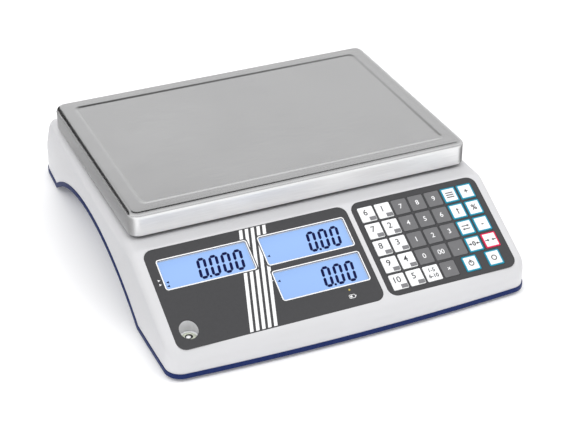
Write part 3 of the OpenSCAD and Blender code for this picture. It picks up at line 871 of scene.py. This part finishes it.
def display_overlay():
    body = film(*OVERLAYS[0])
    cutters = [plate(x, s, *WINDOW, 1.6, -2, 3, [FILM]) for x, s in WINDOWS]
    cutters.append(prism(circle(LEVEL_X, LEVEL_Y, LEVEL_R), 10, ABOVE_LEVEL_Z, [FILM]))
    carve(body, cutters)
    marks = [pinstripes()] + window_frames() + lamp_and_battery_sign()
    # pointers beside the windows
    for x, s in ((-143.0, 28.6), (-143.0, 32.4), (-56.6, 28.6), (-56.6, 51.6)):
        marks.append(ink([(x, s), (x + 2, s + 0.9), (x, s + 1.8)], INK_WHITE))
    finish("display_overlay", [body] + marks, "base", 30)


display_overlay()


# ---- displays
ZERO_SEGMENTS = "abcdef"
DIGIT_W, DIGIT_H = 7.8, 18.8
DIGIT_PITCH = 10.15
SEGMENT_T = 2.4
SEGMENT_GAP = 0.14
DOT_R = 1.1
DIGIT_LEAN = math.tan(math.radians(6))
LCD_TOP = -WALL
LCD_LAP = 2


def segment_points(key):
    """One segment's outline in a digit's own box, x right and y down from its top left."""
    w, h, g = DIGIT_W, DIGIT_H, SEGMENT_GAP
    c = SEGMENT_T / 2
    across = {"a": c, "d": h - c}
    upright = {
        "f": (c, c, h / 2),
        "b": (w - c, c, h / 2),
        "e": (c, h / 2, h - c),
        "c": (w - c, h / 2, h - c),
    }
    if key in across:
        y, x0, x1 = across[key], c + g, w - c - g
        return [(x0, y), (x0 + c, y - c), (x1 - c, y - c), (x1, y), (x1 - c, y + c), (x0 + c, y + c)]
    x, y0, y1 = upright[key]
    y0, y1 = y0 + g, y1 - g
    return [(x, y0), (x + c, y0 + c), (x + c, y1 - c), (x, y1), (x - c, y1 - c), (x - c, y0 + c)]


def zero(x, s):
    """Segments of a zero; (x, s) is its top left on the console."""
    out = []
    for key in ZERO_SEGMENTS:
        points = [(x + px + (DIGIT_H - py) * DIGIT_LEAN, s + py) for px, py in segment_points(key)]
        out.append(ink(points, SEGMENT, LCD_TOP))
    return out


def readout(places, dot_after, right, s):
    """A row of zeros that ends at x = right; dot_after counts digits from the right."""
    marks = []
    for k in range(places):
        marks += zero(right - DIGIT_W - k * DIGIT_PITCH, s)
    x = right - dot_after * DIGIT_PITCH + 1.0
    marks.append(ink(circle(x, s + DIGIT_H - 1.0, DOT_R, 16), SEGMENT, LCD_TOP))
    return marks


def pointer(x, s):
    return ink([(x, s), (x + 2.4, s - 1.1), (x + 2.4, s + 1.1)], SEGMENT, LCD_TOP)


def lcd_panels():
    """Three display glasses with zeros and the pointers towards the legends."""
    parts = []
    w, h = WINDOW[0] + 2 * LCD_LAP, WINDOW[1] + 2 * LCD_LAP
    for x, s in WINDOWS:
        parts.append(plate(x - LCD_LAP, s - LCD_LAP, w, h, 1.2, LCD_TOP - LCD_T, LCD_TOP, [DISPLAY], 0.3))
    parts += readout(4, 3, -71.0, 16.8)
    parts += readout(3, 2, 13.2, 16.2)
    parts += readout(3, 2, 12.7, 49.8)
    parts += [pointer(-136.6, 31.2), pointer(-136.9, 34.6), pointer(-50.8, 29.4), pointer(-51.0, 53.0)]
    finish("lcd_panels", parts, "base", 30)


lcd_panels()


# ---- keypad
def key_at(row, col):
    return (KEY_X0 + (col - 1) * PITCH_X, KEY_S0 + (row - 1) * PITCH_S)


def key_places():
    """Upper left corner of every key: four full rows, four keys of the fifth, and the two power keys."""
    places = [key_at(r, c) for r in range(1, 6) for c in range(1, 8) if r < 5 or c < 5]
    return places + [(KEY_ON_X, key_at(5, 1)[1]), (KEY_OFF_X, key_at(5, 1)[1])]


def keypad_overlay():
    """Film with a hole for each key, a little wider than the key."""
    body = film(*OVERLAYS[1])
    w, h = KEY_W + 2 * KEY_GAP, KEY_H + 2 * KEY_GAP
    carve(body, [plate(x - KEY_GAP, s - KEY_GAP, w, h, 1.05, -2, 3, [FILM]) for x, s in key_places()])
    finish("keypad_overlay", [body], "base", 30)


keypad_overlay()


def arrow(x, s, length, turn):
    """A small arrow from (x, s), turned by degrees."""
    neck = length - 1.7
    shape = [(0, -0.4), (neck, -0.4), (neck, -1.3), (length, 0), (neck, 1.3), (neck, 0.4), (0, 0.4)]
    c, d = math.cos(math.radians(turn)), math.sin(math.radians(turn))
    return ink([(x + px * c - py * d, s + px * d + py * c) for px, py in shape], INK_BLACK, KEY_TOP)


def preset_marks(number):
    """A digit at the upper left and a grey field for the second function at the lower right."""
    return lambda x, s: [glyph(str(number), x - 1.1, s - 1.5, 7.6, INK_BLACK, 0.06),
                         ink_bar(x + 0.5, s + 2.9, 5.8, 3.6, INK_GREY, KEY_TOP)]


def number_marks(text):
    return lambda x, s: [glyph(text, x, s, 6.2, INK_WHITE, 0.05)]


def sign_marks(text):
    return lambda x, s: [glyph(text, x, s, 7, INK_BLACK, 0.13)]


def power_marks(bar):
    """Ring, with an upright bar for on."""
    def marks(x, s):
        ring = ink_frame(x - 1.7, s - 1.7, 3.4, 3.4, 1.7, 0.8, INK_BLACK, KEY_TOP)
        return [ring, ink_bar(x - 0.4, s - 3.4, 0.8, 3.2, INK_BLACK, KEY_TOP)] if bar else [ring]
    return marks


def zero_marks(x, s):
    return [arrow(x - 5.2, s, 3.4, 0), arrow(x + 5.2, s, 3.4, 180), glyph("0", x, s, 5.6, INK_BLACK, 0.2)]


def tare_marks(x, s):
    return [arrow(x - 5.0, s, 4.0, 0), arrow(x + 5.0, s, 4.0, 180)]


def turn_marks(x, s):
    return [arrow(x - 3.4, s - 1.5, 6.8, 0), arrow(x + 3.4, s + 1.5, 6.8, 180)]


def up_marks(x, s):
    return [arrow(x, s + 2.8, 5.6, -90)]


def list_marks(x, s):
    return [ink_bar(x - 3.4, s + d - 0.45, 6.8, 0.9, INK_BLACK, KEY_TOP) for d in (-2.1, 0, 2.1)]


def two_line_marks(x, s):
    return [glyph(text, x, s + d, 4.8, INK_BLACK, 0.09) for text, d in (("1-5", -2.7), ("6-10", 2.7))]


def clear_marks(x, s):
    return [glyph("×", x, s, 6.0, INK_WHITE, 0.05)]


def key(node, x, s, tone, marks, rim=None):
    """One key: eased cap, printed rim, and marks around its centre, riding on its own body."""
    cap_top = KEY_TOP - (RIM_INK_T if rim else 0)
    w, h = KEY_W - 2 * KEY_PLAY, KEY_H - 2 * KEY_PLAY
    cap = plate(x + KEY_PLAY, s + KEY_PLAY, w, h, 0.9, KEY_TOP - KEY_T, cap_top, [rim or tone], 0.22)
    parts = [cap] + marks(x + KEY_W / 2, s + KEY_H / 2)
    if rim:
        # the white field is printed over a coloured cap and leaves its rim
        field = rounded_rect(x + RIM_W, s + RIM_W, KEY_W - 2 * RIM_W, KEY_H - 2 * RIM_W, 0.3)
        parts.append(ink(field, tone, cap_top, RIM_INK_T))
    finish(node, parts, node, 30)


def keys():
    presets = ((6, 1), (7, 2), (8, 3), (9, 4), (10, 5))
    numbers = (("7", "8", "9"), ("4", "5", "6"), ("1", "2", "3"), ("0", "00", "."))
    functions = ((list_marks, sign_marks("+")), (up_marks, sign_marks("%")), (turn_marks, sign_marks("-")),
                 (zero_marks, tare_marks))
    for r in range(1, 6):
        for c in (1, 2):
            key(f"key_r{r}_c{c}", *key_at(r, c), KEY_WHITE, preset_marks(presets[r - 1][c - 1]))
    for r in range(1, 5):
        for c in (3, 4, 5):
            key(f"key_r{r}_c{c}", *key_at(r, c), KEY_GREY, number_marks(numbers[r - 1][c - 3]))
        for c in (6, 7):
            rim = INK_RED if (r, c) == (4, 7) else INK_TEAL
            key(f"key_r{r}_c{c}", *key_at(r, c), KEY_WHITE, functions[r - 1][c - 6], rim)
    key("key_r5_c3", *key_at(5, 3), KEY_WHITE, two_line_marks)
    key("key_r5_c4", *key_at(5, 4), KEY_GREY, clear_marks)
    low_s = key_at(5, 1)[1]
    key("key_on", KEY_ON_X, low_s, KEY_WHITE, power_marks(True), INK_TEAL)
    key("key_off", KEY_OFF_X, low_s, KEY_WHITE, power_marks(False), INK_TEAL)


keys()


# ---- level
def level_vial():
    """Cup with tinted liquid, a printed ring and the bubble, a little off its centre."""
    cup_profile = [(0, -7), (7.3, -7), (7.3, -0.4), (7.1, -0.1), (6.2, -0.1), (6, -0.4), (6, -5), (0, -5)]
    liquid_profile = [(0, -4.9), (5.9, -4.9), (5.9, -0.9), (4.5, -0.55), (0, -0.4)]
    ring_profile = [(2.95, -0.45), (2.95, -0.25), (3.1, -0.25), (3.1, -0.45)]
    bubble_profile = [(0, -0.42), (1.4, -0.4), (1.9, -0.2), (1.4, -0.05), (0, 0)]
    at = Matrix.Translation((LEVEL_X, LEVEL_Y, VIAL_TOP_Z))
    cup = lathe("cup", cup_profile, [KEY_WHITE], place=at)
    liquid = lathe("liquid", liquid_profile, [LIQUID], place=at)
    ring = lathe("ring", ring_profile, [INK_GREY], place=at)
    bubble = lathe("bubble", bubble_profile, [INK_WHITE], -0.6, -0.5, 32, at)
    finish("level_vial", [cup, liquid, ring, bubble], "base", 40)


level_vial()


# ---- feet and screws
FOOT_X = 112
FOOT_FRONT_Y = -158
FOOT_BACK_Y = 156
FEET = {"front_left": (-FOOT_X, FOOT_FRONT_Y), "front_right": (FOOT_X, FOOT_FRONT_Y),
        "back_left": (-FOOT_X, FOOT_BACK_Y), "back_right": (FOOT_X, FOOT_BACK_Y)}
THREAD_PITCH = 1.25
WHEEL_Z = (4.3, 8.9)
WHEEL_R = 13.5
WHEEL_FACE_R = 12.4
WHEEL_STEPS = 180
LOBES = 30
LOBE_DEPTH = 0.7
HOUSING_SCREWS = ((-88, -165), (28.7, -165), (-88, 158), (88, 158))
BOLT_X = (37, 57)
CARRIER_BOLT_TOP_Z = 87


def lobed(x, y, r):
    """Circle with round lobes, for a knurled wheel."""
    points = []
    for k in range(WHEEL_STEPS):
        a = 2 * math.pi * k / WHEEL_STEPS
        d = r - LOBE_DEPTH * (1 - math.cos(LOBES * a)) / 2
        points.append((x + d * math.cos(a), y + d * math.sin(a)))
    return points


def thread(r, z0, z1, depth):
    """Profile of ridges between two heights."""
    profile = []
    for k in range(int((z1 - z0) / THREAD_PITCH)):
        z = z0 + k * THREAD_PITCH
        rise, fall, end = (z + THREAD_PITCH * share for share in (0.35, 0.55, 0.9))
        profile += [(r - depth, z), (r, rise), (r, fall), (r - depth, end)]
    return profile


def foot_pad(corner):
    """Rubber pad with grip rings below and a pocket for the screw's ball end."""
    profile = [(0, 0), (4, 0)]
    for r in (4, 6.6, 9.2):
        profile += [(r, 0), (r + 0.3, 0.5), (r + 0.9, 0.5), (r + 1.2, 0)]
    profile += [(12.2, 0), (12.8, 0.3), (13, 0.9), (13, 3.2), (12.7, 3.8), (12.2, 4)]
    profile += [(3.3, 4), (3, 3.7), (3, 1.3), (0, 1.3)]
    pad = lathe("foot_pad_visual_" + corner, profile, [RUBBER], *FEET[corner], 72)
    tidy(pad, 38)
    assign(pad, "foot_pad_" + corner, "foot_pad_" + corner)


def foot_screw(corner):
    """Levelling screw: ball end, knurled wheel and threaded stem."""
    x, y = FEET[corner]
    low, high = WHEEL_Z

    def turned(profile):
        return [ring_at(circle(x, y, r, WHEEL_STEPS), z) for r, z in profile]

    rings = turned([(0, 1.6), (2, 1.6), (2.8, 2.4), (2.8, low), (WHEEL_FACE_R, low)])
    for inset, z in ((0.35, low + 0.15), (0, low + 0.6), (0, high - 0.6), (0.35, high - 0.15)):
        rings.append(ring_at(lobed(x, y, WHEEL_R - inset), z))
    rings += turned([(WHEEL_FACE_R, high), (5.2, high)])
    rings += turned(thread(4, high, 23.4, 0.45) + [(3.5, 23.4), (3, 24), (0, 24)])
    screw = loft("foot_screw_visual_" + corner, rings, [ZINC])
    tidy(screw, 38)
    assign(screw, "foot_screw_" + corner, "foot_screw_" + corner)


for corner in FEET:
    foot_pad(corner)
    foot_screw(corner)


def machine_screw(x, y, head, head_low, head_high, shank, tip, socket):
    """Domed screw that points up; socket cuts a six-sided key hole, else a cross."""
    profile = [(0, head_low), (head * 0.55, head_low), (head * 0.86, head_low + 0.35)]
    profile += [(head, head_low + 1.1), (head, head_high), (shank, head_high)]
    profile += thread(shank, head_high + 1, tip - 1, shank * 0.12)
    profile += [(shank * 0.6, tip), (0, tip)]
    screw = lathe("screw", profile, [ZINC], x, y)
    if socket:
        cutters = [prism(circle(x, y, head * 0.52, 6), head_low - 1, head_low + 2.6, [ZINC])]
    else:
        reach, half = head * 0.55, head * 0.13
        low, high = head_low - 1, head_low + 1.6
        cutters = [block((x - reach, y - half, low), (x + reach, y + half, high), [ZINC]),
                   block((x - half, y - reach, low), (x + half, y + reach, high), [ZINC])]
    return carve(screw, cutters)


def screws_and_bolts():
    """The housing's screws, the cell's bolts, and the support's: the same bolts upside down."""
    small = [machine_screw(x, y, 4, 5, 8, 2, 27, False) for x, y in HOUSING_SCREWS]
    finish("housing_screws", small, "base", 38)
    bolts = [machine_screw(-x, PAN_Y, 5, 8, 14, 3, 34, True) for x in BOLT_X]
    finish("load_cell_bolts", bolts, "base", 38)
    bolts = [machine_screw(x, PAN_Y, 5, 0, 6, 3, 57, True) for x in BOLT_X]
    over = Matrix.Translation(Vector((0, 2 * PAN_Y, CARRIER_BOLT_TOP_Z)) * MM)
    for bolt in bolts:
        bolt.data.transform(over @ Matrix.Rotation(math.pi, 4, "X"))
    finish("carrier_bolts", bolts, "carrier", 38)


screws_and_bolts()


# ---- battery
BATTERY_AT = (-50, 77)
BATTERY_SIZE = (100, 66)
BATTERY_Z = (6, 53)
LID_LINE = 0.5


def battery():
    """Sealed case with a lid line, a fill strip and two tin-plated blades."""
    x, y, low, high = *BATTERY_AT, *BATTERY_Z
    w, d = BATTERY_SIZE
    case = prism(rounded_rect(x, y, w, d, 1.5), low, high, [BATTERY], edge=1.0)
    groove = block((-60, 60, 47), (60, 160, 47.6), [BATTERY])
    keep = rounded_rect(x + LID_LINE, y + LID_LINE, w - 2 * LID_LINE, d - 2 * LID_LINE, 1.5)
    carve(groove, [prism(keep, 46, 49, [BATTERY])])
    strip = prism(rounded_rect(-34, 104, 68, 13, 2), high - 0.4, high + 1, [BATTERY])
    carve(case, [groove, strip])
    blades = []
    for blade_x in (-42, 36):
        blades.append(prism(rounded_rect(blade_x, 83, 6, 5, 0.6), 52.5, 53.4, [BATTERY]))
        blades.append(block((blade_x + 0.6, 85.1, 53), (blade_x + 5.4, 85.9, 56), [LEAD]))
    finish("battery", [case] + blades, "base", 35)


battery()


# ---- circuit boards
def packaged(x, s, w, h, top, depth, mat):
    """A chip or connector under a board, with tin legs along its two long sides."""
    parts = [plate(x, s, w, h, 0.3, top - depth, top, [mat])]
    legs = int(w / LEG_PITCH)
    first = x + (w - (legs - 1) * LEG_PITCH) / 2
    for k in range(legs):
        for side in (s - LEG_REACH, s + h):
            left = first + k * LEG_PITCH - LEG_W / 2
            parts.append(plate(left, side, LEG_W, LEG_REACH, 0.05, top - LEG_T, top, [LEAD]))
    return parts


def main_board():
    """Board behind the displays with its chips and two connectors below."""
    top = LCD_TOP - LCD_T
    under = top - BOARD_T
    parts = [plate(*MAIN_BOARD_AT, *MAIN_BOARD_SIZE, 1, under, top, [BOARD], 0.1)]
    packages = ((18, 18, 2.4, CHIP), (12, 9, 2, CHIP), (10, 10, 7, NYLON), (22, 8, 3, NYLON))
    for k, (w, h, depth, mat) in enumerate(packages):
        x = MAIN_BOARD_AT[0] + CHIP_X0 + CHIP_PITCH * k
        parts += packaged(x, MAIN_BOARD_AT[1] + CHIP_S - h, w, h, under, depth, mat)
    finish("main_board", parts, "base", 35)


def keypad_board():
    """Board under the keys: a sprung dome under each key and its solder joints below."""
    top = -WALL
    under = top - BOARD_T
    dome = [(0, top), (4, top), (3.6, top + 0.1), (0, top + 0.15)]
    joint = [(0, under - 0.7), (0.35, under - 0.6), (0.9, under), (0, under)]
    parts = [plate(*KEYPAD_BOARD_AT, *KEYPAD_BOARD_SIZE, 4.5, under, top, [BOARD], 0.1)]
    for x, s in key_places():
        cx, cy = x + KEY_W / 2, -s - KEY_H / 2
        parts.append(lathe("dome", dome, [LEAD], cx, cy, 24, CONSOLE))
        for side in (-2.5, 2.5):
            parts.append(lathe("joint", joint, [LEAD], cx + side, cy, 12, CONSOLE))
    finish("keypad_board", parts, "base", 35)


main_board()
keypad_board()


# ---- shell, support and plate
def cad_copy(node, mat):
    """A copy of the CAD node's own shape in mat, for the visual model."""
    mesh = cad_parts[node].data.copy()
    mesh.materials.clear()
    mesh.materials.append(mat)
    return add_object(node + "_visual", mesh)


def eased_copy(node, body, mat, width, segments):
    """The CAD node's own shape with its edges rounded, as moulding, casting or folding leaves them."""
    angle = 40
    obj = cad_copy(node, mat)
    tidy(obj, angle)
    bm = bmesh.new()
    bm.from_mesh(obj.data)
    bmesh.ops.dissolve_limit(bm, angle_limit=math.radians(0.4), verts=bm.verts, edges=bm.edges)
    bm.to_mesh(obj.data)
    bm.free()
    ease(obj, width, segments, angle)
    even_shading(obj, angle)
    assign(obj, body, node)
    return obj


eased_copy("base_shell", "base", BASE, 0.3, 2)
eased_copy("pan_support", "carrier", CAST, 1.0, 3)
eased_copy("pan_pads", "carrier", RUBBER, 0.5, 3)
eased_copy("chassis_plate", "base", PLATE, 0.3, 2)


def power_socket():
    """Eased socket whose centre pin is plated."""
    obj = eased_copy("power_socket", "base", BLACK, 0.25, 2)
    obj.data.materials.append(LEAD)
    axis = Matrix.Translation((SOCKET_X, BACK_CREST_Y, DECK_Z)) @ Matrix.Rotation(-BACK_TILT, 4, "X")
    to_socket = (axis @ Matrix.Translation((0, SOCKET_S, 0))).inverted()
    for face in obj.data.polygons:
        near = to_socket @ (face.center / MM)
        if math.hypot(near.x, near.y) < SOCKET_PIN_R + 0.1:
            face.material_index = 1


power_socket()


def load_cell():
    """The cell bends between the plate and the support; its copy is parented to neither body."""
    obj = cad_copy("load_cell", CELL)
    tidy(obj, 30)
    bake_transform(obj)
    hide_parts("load_cell")


load_cell()


# ---- floor, light and camera
FLOOR_FRONT_Y = -6000
FLOOR_BACK_Y = 3200
FLOOR_HALF_W = 9000
SWEEP_R = 2200
FLOOR_GLOW = 0.12
LIGHT_AIM = (0, 0, 0.05)
# brightness of the walls from 0, straight away from the gap, to 1, straight towards it: bright low in
# front, dimmer around, and nearly black in the gap high at the back, which lines the pan's bends
WALL_GAP = (0.12, 0.49, 0.863)
WALL_TONES = ((0.25, 1.3), (0.5, 0.72), (0.70, 1.0), (0.90, 0.66), (0.9425, 0.86), (0.9675, 0.05))
LENS = 98.77
CAMERA_PLACE = (-0.45641, -1.07804, 0.72946)
CAMERA_RIGHT = (0.91534, -0.40267, 0)
CAMERA_UP = (0.21033, 0.47812, 0.85273)


def floor():
    """Pale paper that curves up far behind the object; a faint glow keeps its shadows light."""
    mat = node_material("floor_paper", (0.93, 0.93, 0.935), 0.7)
    feed(mat, "Base Color", tint(mat, noise(mat, 2), (0.925, 0.925, 0.93), (0.94, 0.94, 0.945)))
    shader_of(mat).inputs["Emission Color"].default_value = (1, 1, 1, 1)
    shader_of(mat).inputs["Emission Strength"].default_value = FLOOR_GLOW
    profile = [(FLOOR_FRONT_Y, 0), (FLOOR_BACK_Y, 0)]
    for a in quarter(12)[1:]:
        profile.append((FLOOR_BACK_Y + SWEEP_R * math.sin(a), SWEEP_R * (1 - math.cos(a))))
    verts = [(x, y, z) for y, z in profile for x in (-FLOOR_HALF_W, FLOOR_HALF_W)]
    faces = [(2 * k, 2 * k + 1, 2 * k + 3, 2 * k + 2) for k in range(len(profile) - 1)]
    obj = build("floor", verts, faces, [mat])
    smooth(obj)


def area_light(name, place, size, power):
    """Softbox that lights the object without showing in the steel, which mirrors the walls instead."""
    light = bpy.data.lights.new(name, "AREA")
    light.shape = "RECTANGLE"
    light.size, light.size_y = size
    light.energy = power
    obj = add_object(name, light)
    obj.location = place
    obj.visible_glossy = False
    obj.rotation_euler = (Vector(LIGHT_AIM) - Vector(place)).to_track_quat("-Z", "Y").to_euler()


def studio_world():
    """Walls whose brightness goes by direction, so that the pan mirrors what the photo's pan mirrors."""
    world = bpy.data.worlds.new("studio")
    world.use_nodes = True
    background = world.node_tree.nodes["Background"]
    background.inputs["Color"].default_value = (1, 1, 1, 1)
    coords = add(world, "ShaderNodeTexCoord")
    toward_gap = add(world, "ShaderNodeVectorMath", operation="DOT_PRODUCT")
    toward_gap.inputs[1].default_value = WALL_GAP
    ramp = add(world, "ShaderNodeValToRGB")
    ramp.color_ramp.interpolation = "EASE"
    elements = ramp.color_ramp.elements
    while len(elements) < len(WALL_TONES):
        elements.new(0.5)
    for element, (position, value) in zip(elements, WALL_TONES):
        element.position = position
        element.color = (value, value, value, 1)
    share = add(world, "ShaderNodeMapRange", From_Min=-1)
    link(world, coords.outputs["Generated"], toward_gap.inputs[0])
    link(world, toward_gap.outputs["Value"], share.inputs["Value"])
    link(world, share.outputs["Result"], ramp.inputs["Fac"])
    link(world, ramp.outputs["Color"], background.inputs["Strength"])
    bpy.context.scene.world = world


def flag(name, corners, tone):
    """A dark card seen only in reflections, which draws the pan's sides and corners."""
    mat = node_material(name + "_cloth", (tone, tone, tone), 0.9)
    low, high = (tone * 0.9,) * 3, (tone * 1.1,) * 3
    feed(mat, "Base Color", tint(mat, noise(mat, 30), low, high))
    card = build(name, corners, [(0, 1, 2, 3)], [mat])
    card.visible_camera = False
    card.visible_diffuse = False
    card.visible_shadow = False
    card.visible_transmission = False


def lights():
    studio_world()
    area_light("key_light", (0.9, -0.7, 1.9), (1.4, 1.2), 14)
    area_light("fill_light", (-1.2, -0.5, 1.8), (1.4, 1.0), 12)
    area_light("back_light", (0.1, 1.1, 1.7), (1.6, 0.5), 12)
    flag("low_flag", [(-800, -250, 2), (-170, -150, 2), (-170, 500, 2), (-800, 900, 2)], 0.26)
    flag("right_flag", [(168, -150, 2), (800, -250, 2), (800, 900, 2), (168, 500, 2)], 0.12)
    flag("upright_flag", [(-900, 250, 60), (-150, 900, 60), (-150, 900, 520), (-900, 250, 520)], 0.02)


def camera():
    """Camera at the reference viewing angle: about 24 degrees left of the front and 31 above."""
    cam = bpy.data.cameras.new("camera")
    cam.sensor_width = 36
    cam.lens = LENS
    obj = add_object("camera", cam)
    right, up = Vector(CAMERA_RIGHT), Vector(CAMERA_UP)
    turn = Matrix((right, up, right.cross(up))).transposed().to_4x4()
    obj.matrix_world = Matrix.Translation(CAMERA_PLACE) @ turn
    bpy.context.scene.camera = obj


floor()
lights()
camera()
bpy.context.scene.view_settings.view_transform = "Standard"
